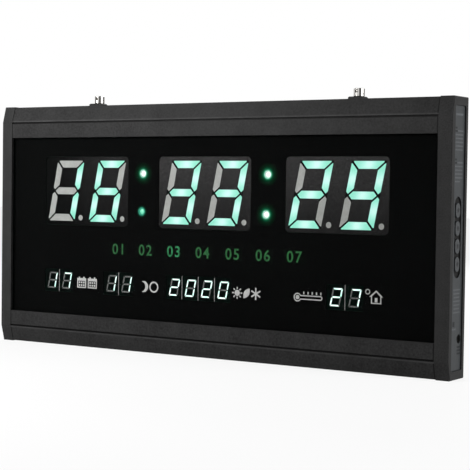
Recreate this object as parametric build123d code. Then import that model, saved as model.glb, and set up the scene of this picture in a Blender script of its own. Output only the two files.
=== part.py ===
from build123d import *
import os
from math import radians, sqrt, tan

os.makedirs("parts", exist_ok=True)

# A digital calendar wall clock. The origin is the centre of the back face, against the wall.
# X runs to the viewer's right, Y runs from the viewer into the wall, and Z is up. Millimetres.

# Case
case_width = 460.0
case_height = 220.0
case_depth = 30.0
rail_height = 28.5
lip_thickness = 2.5
outer_set_back = 3.8
outer_wall = 1.6
groove_from_edge = 14.8
groove_width = 1.7
groove_depth = 1.4
flange_height = 11.0
flange_thickness = 2.0
cut_overrun = 1.0

# End caps
cap_width = 12.0
cap_proud = 0.5
cap_wall = 2.5
cap_side_wall = 3.0
cap_edge_chamfer = 0.7
cap_boss_radius = 3.6

# Front panel and the slots in the rails that hold it, with the display card behind it
panel_thickness = 2.0
panel_overlap = 5.0
panel_side_overlap = 4.0
panel_play = 0.3
rib_thickness = 1.4
rib_lift = 0.5

# Back cover
cover_thickness = 2.0
cover_gap = 0.2
cover_screw_edge = 5.5
cover_screw_end = 12.0
cover_screws_per_edge = 5
vent_length = 3.0
vent_height = 16.0
vent_pitch = 8.0
vents_per_row = 9
vent_from_edge = 33.5
sound_hole_radius = 1.0
sound_ring_radius = 4.0
sound_holes = 6

# Screws
screw_radius = 1.5
screw_head_radius = 2.8
screw_head_height = 1.3
screw_clearance = 0.05
screw_hole_clearance = 0.15
cross_length = 3.0
cross_width = 0.7
cross_depth = 0.8
pan_head_radius = 2.6
pan_head_height = 1.6
cover_screw_length = 6.0
cap_screw_depth = 12.0
port_radius = 3.4
port_from_front = 12.0
port_from_edge = 9.5
port_web = 2.4

# Hanging posts on the top rail
hanger_spread_share = 0.584
hanger_shift = 2.6
hanger_from_back = 7.0
pad_width = 13.0
pad_depth = 10.0
pad_height = 2.8
pad_forward = 2.0
pad_chamfer = 0.8
post_radius = 4.6
post_height = 6.9
post_chamfer = 0.5
hanging_hole_radius = 1.4
hanging_hole_from_top = 2.4
post_thread_depth = 2.6

# Display: the digits stand on one board, behind a black card and the tinted panel.
# A share across is of the opening's width, and a share up is of half its height.
display_shift = -2.2
panel_gap = 0.5
card_thickness = 0.8
card_window_gap = 0.2
board_thickness = 1.6
component_room = 9.4
lens_depth = 3.0
decimal_clearance = 0.02

# Large digits, two to a module
module_width = 95.5
module_height = 62.4
module_corner = 4.2
module_pitch_share = 0.2967
module_up_share = 0.3975
digit_pitch = 47.8
digit_width = 31.0
digit_height = 55.2
digit_stroke = 6.3
segment_gap = 1.65
digit_slant = 11.5
crossing_share = 0.3
tip_blunt_share = 0.12
decimal_radius = 2.45
decimal_from_middle = 17.2
decimal_from_bottom = 3.2

# Colon lamps between the modules; their shares are of the module's height
lamp_radius = 2.5
lamp_rim_radius = 2.9
lamp_rim_height = 1.0
lamp_length = 8.6
lamp_dome_height = 0.7
lamp_panel_gap = 0.1
lead_radius = 0.3
lead_spread = 1.27
colon_shift = -0.9
colon_above_share = 0.2612
colon_below_share = 0.2756
colon_lean = 0.6

# Weekday row: seven lit cells behind translucent films
weekday_count = 7
weekday_pitch_share = 0.0702
weekday_shift = -0.6
weekday_up_share = -0.237
cell_width = 20.0
cell_height = 11.6
cell_wall = 1.2
film_thickness = 0.3
weekday_lamp_radius = 1.5
weekday_lamp_length = 5.0
weekday_lamp_dome = 1.3
weekday_lamp_lift = 1.0

# Calendar row: single-digit modules in groups of two or four
calendar_up_share = -0.622
calendar_pitch = 17.0
calendar_module_height = 20.4
divider_width = 0.6
divider_depth = 6.0
small_digit_width = 9.1
small_digit_height = 14.8
small_digit_stroke = 1.2
small_digit_shift = 0.5
small_segment_gap = 0.55
small_decimal_radius = 0.8
small_decimal_from_middle = 6.1
date_share = -0.3681
month_share = -0.2098
year_share = -0.0114
temperature_share = 0.3184

# Main board
board_end_gap = 18.2
board_top_margin = 9.0
board_bottom_margin = 10.0
standoff_inset = 4.5
standoff_radius = 3.0
board_hole_clearance = 0.2
board_screw_grip = 3.7

# Pieces on the back of the main board
tall_part_clearance = 0.9
chip_length = 52.0
chip_width = 14.0
chip_height = 4.5
clock_chip_length = 10.3
clock_chip_width = 7.5
clock_chip_height = 2.6
driver_length = 20.0
driver_width = 7.0
driver_height = 4.0
driver_pitch = 48.0
driver_count = 6
cell_radius = 10.0
cell_thickness = 3.2
cell_play = 0.1
holder_wall = 1.8
holder_floor = 1.0
buzzer_radius = 6.0
buzzer_mouth_radius = 1.2
buzzer_mouth_depth = 1.0
capacitor_radius = 4.0
capacitor_pitch = 12.0
regulator_width = 10.0
regulator_body_length = 9.0
regulator_height = 4.4
regulator_tab_length = 6.0
regulator_tab_thickness = 1.3
regulator_hole_radius = 1.6
sensor_radius = 2.4
sensor_length = 5.0
sensor_flat = 1.4

# Control plate on the right end cap
plate_recess = 1.6
plate_thickness = 0.5
plate_front_margin = 5.6
plate_rear_margin = 4.6
plate_end_margin = 7.0
plate_corner = 1.5
plate_gap = 0.1
button_well_width = 12.4
button_well_end = 10.7
button_well_depth = 0.5

# Push buttons and their switches
button_count = 4
button_pitch = 13.95
button_row_z = 0.8
button_from_front = 15.6
button_width = 8.0
button_height = 11.6
button_hole_gap = 0.25
button_proud = 0.2
button_flange_lip = 0.9
button_flange_thickness = 1.0
button_flange_gap = 0.1
button_stem_radius = 2.2
button_edge_round = 0.4
dimple_radius = 2.6
dimple_depth = 0.5
button_travel = 0.5
switch_size = 6.0
switch_height = 3.5
plunger_radius = 1.75
plunger_gap = 0.1
plunger_rise = 1.0
plunger_seat = 1.6
plunger_bottom_gap = 0.2

# Control board and power inlet in the right end cap
control_board_lift = 6.9
control_board_width = 20.0
control_board_above_row = 41.8
control_board_below_jack = 9.4
control_board_from_back = 4.0
control_screw_above_row = 36.8
control_screw_above_jack = 18.6
control_screw_from_front = 9.5
control_screw_length = 6.0
jack_from_bottom = 31.5
jack_from_back = 8.9
jack_size = 9.0
jack_wall_gap = 0.1
jack_floor = 1.0
jack_bore_radius = 3.1
jack_pin_radius = 1.0
jack_pin_recess = 0.6
inlet_radius = 3.4
inlet_plate_gap = 0.2

# Ribbon from the control board to the main board
ribbon_width = 10.0
ribbon_thickness = 0.8
ribbon_bend = 3.2
ribbon_room = 1.5
ribbon_board_inset = 6.0

# Figures shown by each display, and the segments that make each figure
figures_shown = {
    "hour": "16", "minute": "33", "second": "29",
    "date": "17", "month": "11", "year": "2020", "temperature": "27",
}
lit_segments = {
    "0": "abcdef", "1": "bc", "2": "abdeg", "3": "abcdg", "4": "bcfg",
    "5": "acdfg", "6": "acdefg", "7": "abc", "8": "abcdefg", "9": "abcdfg",
}

# Places worked out from the sizes above
half_width = case_width / 2
cap_top = case_height / 2
rail_top = cap_top - cap_proud
opening_half = rail_top - rail_height
opening_height = 2 * opening_half
cap_inner_x = half_width - cap_width
opening_width = 2 * cap_inner_x
module_pitch = module_pitch_share * opening_width
module_z = module_up_share * opening_half
weekday_pitch = weekday_pitch_share * opening_width
weekday_z = weekday_up_share * opening_half
calendar_z = calendar_up_share * opening_half
front_y = -case_depth
panel_front_y = front_y + lip_thickness
panel_rear_y = panel_front_y + panel_thickness
card_rear_y = panel_rear_y + card_thickness
segment_front_y = panel_rear_y + panel_gap
cover_front_y = -cover_thickness
board_rear_y = cover_front_y - component_room
board_front_y = board_rear_y - board_thickness
flange_front_y = cover_front_y - flange_thickness
groove_z = rail_top - groove_from_edge
slope_start_z = groove_z + groove_width / 2
slope_rear_y = front_y + outer_set_back
port_y = front_y + port_from_front
port_z = rail_top - port_from_edge
flange_screw_z = rail_top - cover_screw_edge
tall_part_height = component_room - tall_part_clearance
slant_share = tan(radians(digit_slant))


def block(x_limits, y_limits, z_limits):
    """A box between two limits on each axis."""
    x_low, x_high = x_limits
    y_low, y_high = y_limits
    z_low, z_high = z_limits
    middle = Pos((x_low + x_high) / 2, (y_low + y_high) / 2, (z_low + z_high) / 2)
    return middle * Box(x_high - x_low, y_high - y_low, z_high - z_low)


def rod(radius, start, end, end_radius=None):
    """A round bar from one point to another, or a cone when the end radius differs."""
    run = Vector(*end) - Vector(*start)
    seat = Plane(origin=start, z_dir=run)
    from_start = (Align.CENTER, Align.CENTER, Align.MIN)
    if end_radius is None:
        return seat * Cylinder(radius, run.length, align=from_start)
    return seat * Cone(radius, end_radius, run.length, align=from_start)


def rod_x(radius, x_limits, y, z):
    """A round bar along X."""
    return rod(radius, (x_limits[0], y, z), (x_limits[1], y, z))


def rod_y(radius, x, y_limits, z):
    """A round bar along Y."""
    return rod(radius, (x, y_limits[0], z), (x, y_limits[1], z))


def rod_z(radius, x, y, z_limits):
    """A round bar along Z."""
    return rod(radius, (x, y, z_limits[0]), (x, y, z_limits[1]))


def around(middle, size):
    """The two limits of a size set evenly about its middle."""
    return (middle - size / 2, middle + size / 2)


def facing_front(face, x, z, y_front, y_rear):
    """A flat shape drawn as the viewer sees it, placed at x and z and given its depth."""
    seat = Plane(origin=(x, y_rear, z), x_dir=(1, 0, 0), z_dir=(0, -1, 0))
    return extrude(seat * face, y_rear - y_front, dir=seat.z_dir)


def facing_side(face, y, z, x_low, x_high):
    """A flat shape drawn in Y and Z, placed at y and z and run along X."""
    seat = Plane(origin=(x_low, y, z), x_dir=(0, 1, 0), z_dir=(1, 0, 0))
    return extrude(seat * face, x_high - x_low, dir=seat.z_dir)


def outline(points):
    """A flat face with straight sides through the points, whichever way round they run."""
    corners = zip(points, points[1:] + points[:1])
    turn = sum(u * next_v - next_u * v for (u, v), (next_u, next_v) in corners)
    return Polygon(*(points if turn > 0 else points[::-1]), align=None)


def flipped(points, across, along):
    """The points of an outline mirrored by the two signs."""
    return [(u * across, v * along) for u, v in points]


def save(name, *solids):
    """Writes one node: a single solid, or several alike that belong together."""
    node = solids[0] if len(solids) == 1 else Compound(children=list(solids))
    export_step(node, f"parts/{name}.step")


# Screws: each is placed by the centre of its head's outer face and the way its tip points
def cross_recess(seat):
    arm = Box(cross_length, cross_width, cross_depth, align=(Align.CENTER, Align.CENTER, Align.MIN))
    return seat * (arm + Rot(0, 0, 90) * arm)


def flat_screw(head, direction, length):
    """A countersunk screw, flush with the face that it is driven into."""
    seat = Plane(origin=head, z_dir=direction)
    tip = tuple(seat.from_local_coords((0, 0, length)))
    neck = tuple(seat.from_local_coords((0, 0, screw_head_height)))
    body = rod(screw_head_radius, head, neck, screw_radius) + rod(screw_radius, neck, tip)
    return body - cross_recess(seat)


def flat_screw_hole(head, direction, length):
    """The room for a countersunk screw in the piece that its head pulls down."""
    seat = Plane(origin=head, z_dir=direction)
    neck = tuple(seat.from_local_coords((0, 0, screw_head_height)))
    far = tuple(seat.from_local_coords((0, 0, length)))
    room = rod(screw_head_radius + screw_clearance, head, neck, screw_radius + screw_clearance)
    return room + rod(screw_radius + screw_hole_clearance, neck, far)


def pan_screw(under_head, direction, length):
    """A screw with a raised round head; it is placed by the face under its head."""
    seat = Plane(origin=under_head, z_dir=direction)
    tip = tuple(seat.from_local_coords((0, 0, length)))
    crown = tuple(seat.from_local_coords((0, 0, -pan_head_height)))
    body = rod(pan_head_radius, crown, under_head) + rod(screw_radius, under_head, tip)
    return body - cross_recess(Plane(origin=crown, z_dir=direction))


# Rails: one hollow extrusion above the display and its mirror image below
rail_core_radius = screw_radius + screw_clearance
cover_screw_run = 2 * (cap_inner_x - cover_screw_end)
cover_screw_step = cover_screw_run / (cover_screws_per_edge - 1)
cover_screw_xs = [cover_screw_end - cap_inner_x + cover_screw_step * n for n in range(cover_screws_per_edge)]
hanger_y = -hanger_from_back
hanger_xs = around(hanger_shift, hanger_spread_share * case_width)
pad_top = rail_top + pad_height


def rail_section():
    slot_end = opening_half + panel_overlap + panel_play
    rib_front_y = card_rear_y + panel_play
    rib_rear_y = rib_front_y + rib_thickness
    hook_z = slot_end + rib_thickness
    rib_low_z = opening_half + rib_lift
    groove_low_z = groove_z - groove_width / 2
    groove_floor_y = front_y + groove_depth
    ceiling_z = rail_top - outer_wall
    wall = outline([
        (front_y, opening_half), (front_y, groove_low_z), (groove_floor_y, groove_low_z),
        (groove_floor_y, slope_start_z), (front_y, slope_start_z), (slope_rear_y, rail_top),
        (cover_front_y, rail_top), (cover_front_y, rail_top - flange_height),
        (flange_front_y, rail_top - flange_height), (flange_front_y, ceiling_z),
        (slope_rear_y + lip_thickness, ceiling_z), (panel_front_y, groove_low_z),
        (panel_front_y, hook_z), (rib_rear_y, hook_z), (rib_rear_y, rib_low_z),
        (rib_front_y, rib_low_z), (rib_front_y, slot_end), (panel_front_y, slot_end),
        (panel_front_y, opening_half),
    ])
    web_height = rail_top - outer_wall / 2 - port_z
    web = Pos(port_y, port_z + web_height / 2) * Rectangle(port_web, web_height)
    port = Pos(port_y, port_z) * Circle(port_radius)
    return wall + web + port - Pos(port_y, port_z) * Circle(rail_core_radius)


def rail():
    """The upper extrusion with its holes for the back cover's screws."""
    body = facing_side(rail_section(), 0, 0, -cap_inner_x, cap_inner_x)
    for x in cover_screw_xs:
        body -= rod_y(rail_core_radius, x, (flange_front_y, cover_front_y), flange_screw_z)
    return body


upper_rail = rail()
lower_rail = mirror(upper_rail, about=Plane.XY)
for x in hanger_xs:
    upper_rail -= rod_z(rail_core_radius, x, hanger_y, (rail_top - outer_wall, rail_top))
save("top_rail", upper_rail)
save("bottom_rail", lower_rail)

# End caps: moulded covers with a hollow inside and a boss for each rail's screw
pocket_x = half_width - cap_side_wall
floor_x = half_width - plate_recess
cap_profile = outline([
    (front_y, -slope_start_z), (front_y, slope_start_z), (slope_rear_y, cap_top),
    (0, cap_top), (0, -cap_top), (slope_rear_y, -cap_top),
])
cap_hollow = offset(cap_profile, -cap_wall, kind=Kind.INTERSECTION)


def blank_cap():
    """The right-hand cap before its own openings are cut."""
    body = facing_side(cap_profile, 0, 0, cap_inner_x, half_width)
    body = chamfer(body.faces().sort_by(Axis.X)[-1].edges(), cap_edge_chamfer)
    body -= facing_side(cap_hollow, 0, 0, cap_inner_x, pocket_x)
    for side in (-1, 1):
        body += rod_x(cap_boss_radius, (cap_inner_x, pocket_x), port_y, side * port_z)
    return body


def cap_screw_places(head_x):
    return [(head_x, port_y, side * port_z) for side in (-1, 1)]


left_cap = mirror(blank_cap(), about=Plane.YZ)
for head in cap_screw_places(-half_width):
    left_cap -= flat_screw_hole(head, (1, 0, 0), cap_width + cut_overrun)
save("left_end_cap", left_cap)

# Right end cap: a recess for the control plate, a well for the buttons and the power inlet
plate_width = case_depth - plate_front_margin - plate_rear_margin
plate_height = case_height - 2 * plate_end_margin
plate_y = front_y + plate_front_margin + plate_width / 2
button_y = front_y + button_from_front
button_zs = [button_row_z + button_pitch * ((button_count - 1) / 2 - n) for n in range(button_count)]
well_run = button_pitch * (button_count - 1) + 2 * button_well_end - button_well_width
button_well = Rot(0, 0, 90) * SlotCenterToCenter(well_run, button_well_width)
well_floor_x = floor_x - button_well_depth
jack_y = -jack_from_back
jack_z = jack_from_bottom - cap_top
control_board_outer_x = pocket_x - control_board_lift
control_board_inner_x = control_board_outer_x - board_thickness
control_screw_y = front_y + control_screw_from_front
control_screw_zs = [button_row_z + control_screw_above_row, jack_z + control_screw_above_jack]


def button_face(margin):
    """A button's oval outline, grown by a margin all round."""
    return Rot(0, 0, 90) * SlotOverall(button_height + 2 * margin, button_width + 2 * margin)


right_cap = blank_cap()
control_screw_run = (control_board_outer_x, control_board_outer_x + control_screw_length)
for z in control_screw_zs:
    right_cap += rod_x(standoff_radius, (control_board_outer_x, pocket_x), control_screw_y, z)
    right_cap -= rod_x(rail_core_radius, control_screw_run, control_screw_y, z)
right_cap -= facing_side(
    RectangleRounded(plate_width, plate_height, plate_corner), plate_y, 0, floor_x, half_width)
right_cap -= facing_side(button_well, button_y, button_row_z, well_floor_x, floor_x)
for z in button_zs:
    right_cap -= facing_side(button_face(button_hole_gap), button_y, z, pocket_x, floor_x)
right_cap -= rod_x(inlet_radius, (pocket_x, floor_x), jack_y, jack_z)
for head in cap_screw_places(floor_x):
    right_cap -= flat_screw_hole(head, (-1, 0, 0), cap_width)
save("right_end_cap", right_cap)

plate = RectangleRounded(plate_width - 2 * plate_gap, plate_height - 2 * plate_gap, plate_corner)
plate -= Pos(button_y - plate_y, button_row_z) * button_well
plate -= Pos(jack_y - plate_y, jack_z) * Circle(inlet_radius + inlet_plate_gap)
save("control_plate", facing_side(plate, plate_y, 0, floor_x, floor_x + plate_thickness))

left_cap_screw_length = cap_width + cap_screw_depth
right_cap_screw_length = left_cap_screw_length - plate_recess
cap_screws = [flat_screw(head, (1, 0, 0), left_cap_screw_length) for head in cap_screw_places(-half_width)]
cap_screws += [flat_screw(head, (-1, 0, 0), right_cap_screw_length) for head in cap_screw_places(floor_x)]
save("end_cap_screws", *cap_screws)

# Front panel, slid into the rails' slots and covered at its ends by the caps
panel_width = 2 * (cap_inner_x + panel_side_overlap)
panel_height = opening_height + 2 * panel_overlap
save("front_panel", block(around(0, panel_width), (panel_front_y, panel_rear_y), around(0, panel_height)))

# Digits: the outlines of seven segments about the middle of an upright digit
def segment_outlines(width, height, stroke, gap):
    nip = gap / sqrt(2)
    right = width / 2
    top = height / 2
    half_stroke = stroke / 2
    inner = right - stroke
    shoulder = top - stroke
    crossing = right - crossing_share * stroke
    blunt = tip_blunt_share * stroke
    bar_tip = right - nip - blunt
    post_tip = top - nip - blunt
    reach = crossing - nip
    bar = [
        (-bar_tip, top), (bar_tip, top), (bar_tip, top - blunt), (inner - nip, shoulder),
        (nip - inner, shoulder), (-bar_tip, top - blunt),
    ]
    post = [
        (right, post_tip), (right, nip + right - crossing), (crossing, nip), (inner, nip + crossing - inner),
        (inner, shoulder - nip), (right - blunt, post_tip),
    ]
    middle = [
        (-reach, 0), (half_stroke - reach, half_stroke), (reach - half_stroke, half_stroke),
        (reach, 0), (reach - half_stroke, -half_stroke), (half_stroke - reach, -half_stroke),
    ]
    return {
        "a": bar, "b": post, "c": flipped(post, 1, -1), "d": flipped(bar, 1, -1),
        "e": flipped(post, -1, -1), "f": flipped(post, -1, 1), "g": middle,
    }


def slanted(points):
    return outline([(u + slant_share * v, v) for u, v in points])


large_segments = segment_outlines(digit_width, digit_height, digit_stroke, segment_gap)
small_segments = segment_outlines(
    small_digit_width, small_digit_height, small_digit_stroke, small_segment_gap)
large_decimal = (decimal_from_middle, decimal_from_bottom - digit_height / 2)
small_decimal = (small_decimal_from_middle, small_decimal_radius - small_digit_height / 2)


def digit_lenses(segments, decimal, decimal_size, shown, x, z):
    """The lit lenses, the dark lenses and the room that they all take in a digit's shell."""
    lens_rear_y = segment_front_y + lens_depth
    lit = []
    dark = []
    room = []
    for name, points in segments.items():
        lens = facing_front(slanted(points), x, z, segment_front_y, lens_rear_y)
        room.append(lens)
        group = lit if name in lit_segments[shown] else dark
        group.append(lens)
    point_seat = Pos(*decimal)
    dark.append(facing_front(point_seat * Circle(decimal_size), x, z, segment_front_y, lens_rear_y))
    decimal_room = point_seat * Circle(decimal_size + decimal_clearance)
    room.append(facing_front(decimal_room, x, z, segment_front_y, lens_rear_y))
    return lit, dark, room


def large_module(name, middle_x, shown):
    """Two large digits in one shell."""
    shell = facing_front(
        RectangleRounded(module_width, module_height, module_corner),
        middle_x, module_z, segment_front_y, board_front_y)
    lit = []
    dark = []
    for side, figure in zip((-1, 1), shown):
        x = middle_x + side * digit_pitch / 2
        new_lit, new_dark, room = digit_lenses(
            large_segments, large_decimal, decimal_radius, figure, x, module_z)
        lit += new_lit
        dark += new_dark
        shell -= room
    save(f"{name}_module", shell)
    save(f"{name}_segments_lit", *lit)
    save(f"{name}_segments_dark", *dark)


module_xs = [display_shift + module_pitch * step for step in (-1, 0, 1)]
for name, x in zip(("hour", "minute", "second"), module_xs):
    large_module(name, x, figures_shown[name])

# Calendar row: each group of single digits is named by what it shows
calendar_shares = {
    "date": date_share, "month": month_share, "year": year_share, "temperature": temperature_share,
}
calendar_middles = {name: display_shift + share * opening_width for name, share in calendar_shares.items()}
calendar_shell_width = calendar_pitch - divider_width


def group_xs(middle_x, count):
    return [middle_x + calendar_pitch * (n - (count - 1) / 2) for n in range(count)]


calendar_lit = []
calendar_dark = []
dividers = []
for name, middle_x in calendar_middles.items():
    shells = []
    xs = group_xs(middle_x, len(figures_shown[name]))
    for x, figure in zip(xs, figures_shown[name]):
        shell = facing_front(
            Rectangle(calendar_shell_width, calendar_module_height),
            x, calendar_z, segment_front_y, board_front_y)
        new_lit, new_dark, room = digit_lenses(
            small_segments, small_decimal, small_decimal_radius, figure, x + small_digit_shift, calendar_z)
        shells.append(shell - room)
        calendar_lit += new_lit
        calendar_dark += new_dark
    save(f"{name}_modules", *shells)
    for x in xs[1:]:
        dividers.append(block(
            around(x - calendar_pitch / 2, divider_width),
            (segment_front_y, segment_front_y + divider_depth),
            around(calendar_z, calendar_module_height)))
save("calendar_segments_lit", *calendar_lit)
save("calendar_segments_dark", *calendar_dark)
save("digit_dividers", *dividers)

# Colon lamps: two round lamps on leads in each space between the large modules
def lamp(x, z, front, length, radius, dome_height, rim_radius, rim_height):
    """A lamp with a domed front that faces the viewer, on two leads from the main board."""
    shoulder_y = front + dome_height
    base_y = front + length
    dome_radius = (radius ** 2 + dome_height ** 2) / (2 * dome_height)
    body = rod_y(radius, x, (front, shoulder_y), z) & Pos(x, front + dome_radius, z) * Sphere(dome_radius)
    body += rod_y(radius, x, (shoulder_y, base_y), z)
    body += rod_y(rim_radius, x, (base_y - rim_height, base_y), z)
    for side in (-1, 1):
        body += rod_y(lead_radius, x + side * lead_spread, (base_y, board_front_y), z)
    return body


colon_places = []
for gap_step in (-1, 1):
    gap_x = display_shift + gap_step * module_pitch / 2 + colon_shift
    colon_places.append((gap_x + colon_lean, module_z + colon_above_share * module_height))
    colon_places.append((gap_x - colon_lean, module_z - colon_below_share * module_height))
save("colon_lamps", *[
    lamp(x, z, panel_rear_y + lamp_panel_gap, lamp_length, lamp_radius, lamp_dome_height,
         lamp_rim_radius, lamp_rim_height)
    for x, z in colon_places])

# Weekday row: a light box with seven cells, a lamp in each and a film over each
weekday_middle_x = display_shift + weekday_shift
weekday_xs = [weekday_middle_x + weekday_pitch * (n - (weekday_count - 1) / 2) for n in range(weekday_count)]
box_length = weekday_pitch * (weekday_count - 1) + cell_width + 2 * cell_wall
box_height = cell_height + 2 * cell_wall
light_box = block(
    around(weekday_middle_x, box_length), (card_rear_y, board_front_y), around(weekday_z, box_height))
for x in weekday_xs:
    light_box -= facing_front(Rectangle(cell_width, cell_height), x, weekday_z, card_rear_y, board_front_y)
save("weekday_light_box", light_box)
weekday_lamp_front = board_front_y - weekday_lamp_lift - weekday_lamp_length
save("weekday_lamps", *[
    lamp(x, weekday_z, weekday_lamp_front, weekday_lamp_length, weekday_lamp_radius, weekday_lamp_dome,
         weekday_lamp_radius, lamp_rim_height)
    for x in weekday_xs])
film = Rectangle(cell_width, cell_height)
film_rear_y = panel_rear_y + film_thickness
save("weekday_films", *[facing_front(film, x, weekday_z, panel_rear_y, film_rear_y) for x in weekday_xs])

# Display card: a black sheet in the panel's slots with a window for everything that shows
card = block(around(0, panel_width), (panel_rear_y, card_rear_y), around(0, panel_height))


def window(face, x, z):
    return facing_front(face, x, z, panel_rear_y, card_rear_y)


module_window = RectangleRounded(
    module_width + 2 * card_window_gap, module_height + 2 * card_window_gap, module_corner)
for x in module_xs:
    card -= window(module_window, x, module_z)
for x, z in colon_places:
    card -= window(Circle(lamp_radius + card_window_gap), x, z)
for x in weekday_xs:
    card -= window(film, x, weekday_z)
for name, middle_x in calendar_middles.items():
    group_width = calendar_pitch * len(figures_shown[name]) - divider_width + 2 * card_window_gap
    group_window = Rectangle(group_width, calendar_module_height + 2 * card_window_gap)
    card -= window(group_window, middle_x, calendar_z)
save("display_card", card)

# Main board, on standoffs that stand on the back cover
board_half_run = cap_inner_x - board_end_gap
board_top_z = module_z + module_height / 2 + board_top_margin
board_bottom_z = calendar_z - calendar_module_height / 2 - board_bottom_margin
board_half_height = (board_top_z - board_bottom_z) / 2
board_middle_z = (board_top_z + board_bottom_z) / 2
standoff_x_reach = board_half_run - standoff_inset
standoff_z_reach = board_half_height - standoff_inset
standoff_places = [
    (display_shift + across * standoff_x_reach, board_middle_z + up * standoff_z_reach)
    for across in (-1, 0, 1)
    for up in (-1, 1)
]
main_board = block(
    around(display_shift, 2 * board_half_run), (board_front_y, board_rear_y), (board_bottom_z, board_top_z))
for x, z in standoff_places:
    main_board -= rod_y(screw_radius + board_hole_clearance, x, (board_front_y, board_rear_y), z)
save("main_board", main_board)
standoff_run = (board_rear_y, cover_front_y)
save("board_standoffs", *[
    rod_y(standoff_radius, x, standoff_run, z) - rod_y(rail_core_radius, x, standoff_run, z)
    for x, z in standoff_places])
board_screw_length = board_thickness + board_screw_grip
save("board_screws", *[
    pan_screw((x, board_front_y, z), (0, 1, 0), board_screw_length) for x, z in standoff_places])

# Pieces on the back of the main board, each sitting on the board's rear face
buzzer_x_share = -0.62
clock_chip_x_share = 0.3
holder_x_share = 0.55
capacitor_x_share = 0.8
regulator_x_share = 0.84
sensor_x_share = -0.88
upper_row_share = 0.28
lower_row_share = -0.3
power_row_share = 0.62
ribbon_row_share = -0.57
upper_row_z = board_middle_z + upper_row_share * board_half_height
lower_row_z = board_middle_z + lower_row_share * board_half_height
power_row_z = board_middle_z + power_row_share * board_half_height


def board_x(share):
    return display_shift + share * board_half_run


def board_part(length, width, height, x, z):
    """A flat package on the board's rear face."""
    return block(around(x, length), (board_rear_y, board_rear_y + height), around(z, width))


def upright(radius, height, x, z):
    """A round piece standing on the board's rear face."""
    return rod_y(radius, x, (board_rear_y, board_rear_y + height), z)


save("microcontroller", board_part(chip_length, chip_width, chip_height, display_shift, upper_row_z))
save("clock_chip", board_part(
    clock_chip_length, clock_chip_width, clock_chip_height, board_x(clock_chip_x_share), upper_row_z))
driver_xs = [display_shift + driver_pitch * (n - (driver_count - 1) / 2) for n in range(driver_count)]
save("driver_chips", *[
    board_part(driver_length, driver_width, driver_height, x, board_middle_z) for x in driver_xs])

holder_x = board_x(holder_x_share)
holder_height = holder_floor + cell_thickness
cell_seat_y = board_rear_y + holder_floor
holder = upright(cell_radius + cell_play + holder_wall, holder_height, holder_x, lower_row_z)
cell_run = (cell_seat_y, cell_seat_y + cell_thickness)
holder -= rod_y(cell_radius + cell_play, holder_x, cell_run, lower_row_z)
save("coin_cell_holder", holder)
save("coin_cell", rod_y(cell_radius, holder_x, cell_run, lower_row_z))

buzzer_x = board_x(buzzer_x_share)
buzzer_top_y = board_rear_y + tall_part_height
buzzer = upright(buzzer_radius, tall_part_height, buzzer_x, lower_row_z)
buzzer -= rod_y(buzzer_mouth_radius, buzzer_x, (buzzer_top_y - buzzer_mouth_depth, buzzer_top_y), lower_row_z)
save("buzzer", buzzer)

capacitor_x = board_x(capacitor_x_share)
save("capacitors", *[
    upright(capacitor_radius, tall_part_height, capacitor_x + side * capacitor_pitch / 2, upper_row_z)
    for side in (-1, 1)])

regulator_x = board_x(regulator_x_share)
regulator = board_part(regulator_width, regulator_body_length, regulator_height, regulator_x, power_row_z)
tab_z = power_row_z + (regulator_body_length + regulator_tab_length) / 2
regulator += board_part(regulator_width, regulator_tab_length, regulator_tab_thickness, regulator_x, tab_z)
regulator -= upright(regulator_hole_radius, regulator_tab_thickness, regulator_x, tab_z)
save("voltage_regulator", regulator)

sensor_x = board_x(sensor_x_share)
sensor_y = board_rear_y + sensor_radius
sensor_run = (lower_row_z, lower_row_z + sensor_length)
sensor = rod_z(sensor_radius, sensor_x, sensor_y, sensor_run)
sensor -= block(
    around(sensor_x, 2 * sensor_radius), (sensor_y + sensor_flat, sensor_y + sensor_radius), sensor_run)
save("temperature_sensor", sensor)

# Back cover: a flat sheet with vents, holes over the buzzer and countersunk screws
cover_width = 2 * (cap_inner_x - cover_gap)
cover = block(around(0, cover_width), (cover_front_y, 0), (-rail_top, rail_top))
cover_screw_places = [(x, side * flange_screw_z) for x in cover_screw_xs for side in (-1, 1)]
cover_screw_places += standoff_places
for x, z in cover_screw_places:
    cover -= flat_screw_hole((x, 0, z), (0, -1, 0), cover_thickness)
vent = Rot(0, 0, 90) * SlotOverall(vent_height, vent_length)
for side in (-1, 1):
    for n in range(vents_per_row):
        vent_x = display_shift + side * board_half_run / 2 + vent_pitch * (n - (vents_per_row - 1) / 2)
        for vent_z in (vent_from_edge - rail_top, rail_top - vent_from_edge):
            cover -= facing_front(vent, vent_x, vent_z, cover_front_y, 0)
hole_ring = PolarLocations(sound_ring_radius, sound_holes)
sound_face = Circle(sound_hole_radius) + [place * Circle(sound_hole_radius) for place in hole_ring]
cover -= facing_front(sound_face, buzzer_x, lower_row_z, cover_front_y, 0)
save("back_cover", cover)
save("back_cover_screws", *[
    flat_screw((x, 0, z), (0, -1, 0), cover_screw_length) for x, z in cover_screw_places])

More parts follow.
